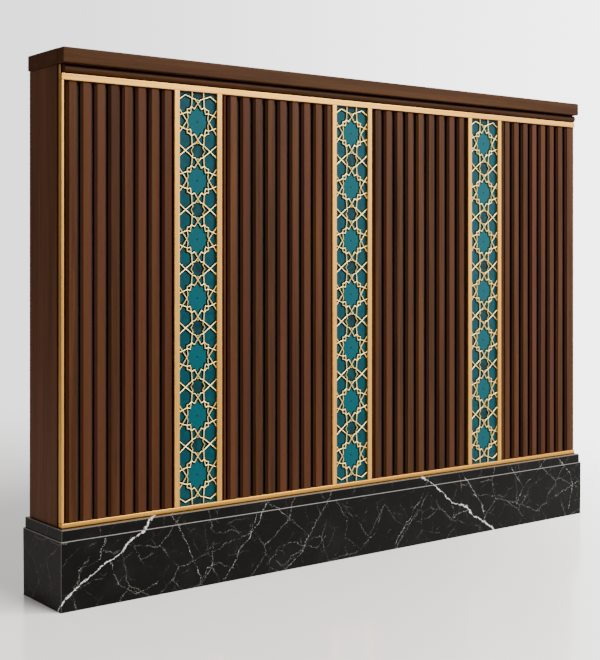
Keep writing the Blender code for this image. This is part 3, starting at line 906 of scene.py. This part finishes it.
LATTICE_BRASS = brass_material("lattice_brass", UPRIGHT, LATTICE_GOLD, LATTICE_LIGHT, LATTICE_ROUGHNESS)
STRAP_SHADE = strap_shade_material()
for number in (1, 2, 3):
    low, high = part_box(f"star_lattice_{number}")
    piece = tracery(f"brass_lattice_{number}", number, 0.0, high.y, low.y, STRAP_CROWN, LATTICE_BRASS)
    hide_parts(f"star_lattice_{number}")
    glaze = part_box(f"inlay_panel_{number}")[0].y
    # A dark ribbon a little wider than the straps, just in front of the glaze: painted shade.
    tracery(f"strap_shade_{number}", number, SHADE_MARGIN, glaze, glaze - SHADE_HEIGHT, 0.0, STRAP_SHADE)
    dress(f"inlay_panel_{number}", teal_material((low.x + high.x) / 2, (low.z + high.z) / 2,
                                                 (high.z - low.z) / STARS))


# The studio
# A pale floor with a soft gloss, which throws little light back on the piece and fades out into the
# room, pale behind the panel and dim in front. The main light comes high from the front, a second
# one lights the top, a low one stands on the left, and a long softbox on the right shines in the brass.

FLOOR_COLOUR = rgb(240, 235, 230)
FLOOR_BOUNCE = rgb(100, 80, 62)
FLOOR_ROUGHNESS = 0.16
FLOOR_IOR = 1.6
FLOOR_REACH = 8.0
FADE_CENTRE = (-0.9, 0.6, 0.0)
FADE_START = 1.1
FADE_END = 3.1


def make_floor():
    """A flat square with its upper side at zero, which fades into the pale room further out."""
    reach = FLOOR_REACH
    mesh = bpy.data.meshes.new("floor")
    mesh.from_pydata([(-reach, -reach, 0), (reach, -reach, 0), (reach, reach, 0), (-reach, reach, 0)], [],
                     [(0, 1, 2, 3)])
    material, tree, shader = new_material("studio_floor")
    bounced = add(tree, "LightPath").outputs["Is Diffuse Ray"]
    put(tree, shader.inputs["Base Color"], tint(tree, bounced, FLOOR_COLOUR, FLOOR_BOUNCE))
    shader.inputs["Roughness"].default_value = FLOOR_ROUGHNESS
    shader.inputs["IOR"].default_value = FLOOR_IOR
    gap = vector_number(tree, "DISTANCE", object_place(tree), FADE_CENTRE)
    put(tree, shader.inputs["Alpha"], smooth(tree, gap, FADE_START, FADE_END, 1.0, 0.0))
    mesh.materials.append(material)
    new_object("floor", mesh)


def aim_light(name, kind, place, target, energy):
    """A light at a place, turned so that it shines at the target."""
    data = bpy.data.lights.new(name, kind)
    data.energy = energy
    light = new_object(name, data)
    light.location = place
    aim = np.array(target) - np.array(place)
    light.rotation_euler = (math.atan2(math.hypot(aim[0], aim[1]), -aim[2]), 0.0,
                            math.atan2(aim[1], aim[0]) - math.pi / 2)
    light.visible_camera = False
    return data


BACKDROP_SIDE = (0.95, 0.31, 0.0)
RIGHT_HAND = (0.79, -0.61, 0.0)
ROOM_DIM = 0.27
BEHIND_SHARE = 0.15
MIRRORED_SHARE = 0.65
BACKDROP_LEFT = 2.05
BACKDROP_RIGHT = 5.3


def make_world():
    """The room: dim in front to the left, bright behind, and plain and pale where it is seen."""
    world = bpy.data.worlds.new("studio")
    bpy.context.scene.world = world
    world.use_nodes = True
    tree = world.node_tree
    look = add(tree, "TexCoord").outputs["Generated"]
    sideways = vector_number(tree, "DOT_PRODUCT", look, RIGHT_HAND)
    backdrop = smooth(tree, sideways, -0.25, 0.42, BACKDROP_LEFT, BACKDROP_RIGHT)
    facing = vector_number(tree, "DOT_PRODUCT", look, BACKDROP_SIDE)
    path = add(tree, "LightPath")
    share = smooth(tree, path.outputs["Is Glossy Ray"], 0.0, 1.0, BEHIND_SHARE, MIRRORED_SHARE)
    behind = calc(tree, "MULTIPLY", smooth(tree, facing, 0.1, 0.75), share)
    seen = calc(tree, "MAXIMUM", path.outputs["Is Camera Ray"], behind)
    level = add(tree, "Mix", data_type="FLOAT")
    put(tree, level.inputs[0], seen)
    put(tree, level.inputs[2], ROOM_DIM)
    put(tree, level.inputs[3], backdrop)
    put(tree, tree.nodes["Background"].inputs["Strength"], level.outputs[0])
    tree.nodes["Background"].inputs["Color"].default_value = (1.0, 1.0, 1.0, 1.0)


make_floor()
main = aim_light("main", "SUN", (1.4, -4.2, 3.3), (0.0, 0.0, 0.0), 4.9)
main.angle = math.radians(30)
upper = aim_light("upper", "AREA", (1.9, -2.2, 2.8), (0.1, 0.0, 0.6), 270)
upper.shape = "RECTANGLE"
upper.size = 1.8
upper.size_y = 1.4
softbox = aim_light("softbox", "AREA", (2.5, -2.8, 0.9), (0.1, 0.0, 0.8), 20)
softbox.shape = "RECTANGLE"
softbox.size = 3.2
softbox.size_y = 1.2
side = aim_light("side", "AREA", (-3.4, -0.8, 0.7), (-0.8, 0.0, 0.6), 48)
side.size = 1.2
make_world()


# The camera
# Level, at about seated eye height, left of the panel, shifted down so that uprights stay parallel.

CAMERA_PLACE = (-2.0178, -2.4715, 0.7585)
CAMERA_TURN = -37.381
CAMERA_LENS = 67.355
CAMERA_SENSOR = 36.0
CAMERA_SHIFT = -0.1144
data = bpy.data.cameras.new("camera")
data.lens = CAMERA_LENS
data.sensor_width = CAMERA_SENSOR
data.shift_y = CAMERA_SHIFT
camera = new_object("camera", data)
camera.location = CAMERA_PLACE
camera.rotation_euler = (math.pi / 2, 0.0, math.radians(CAMERA_TURN))
bpy.context.scene.camera = camera
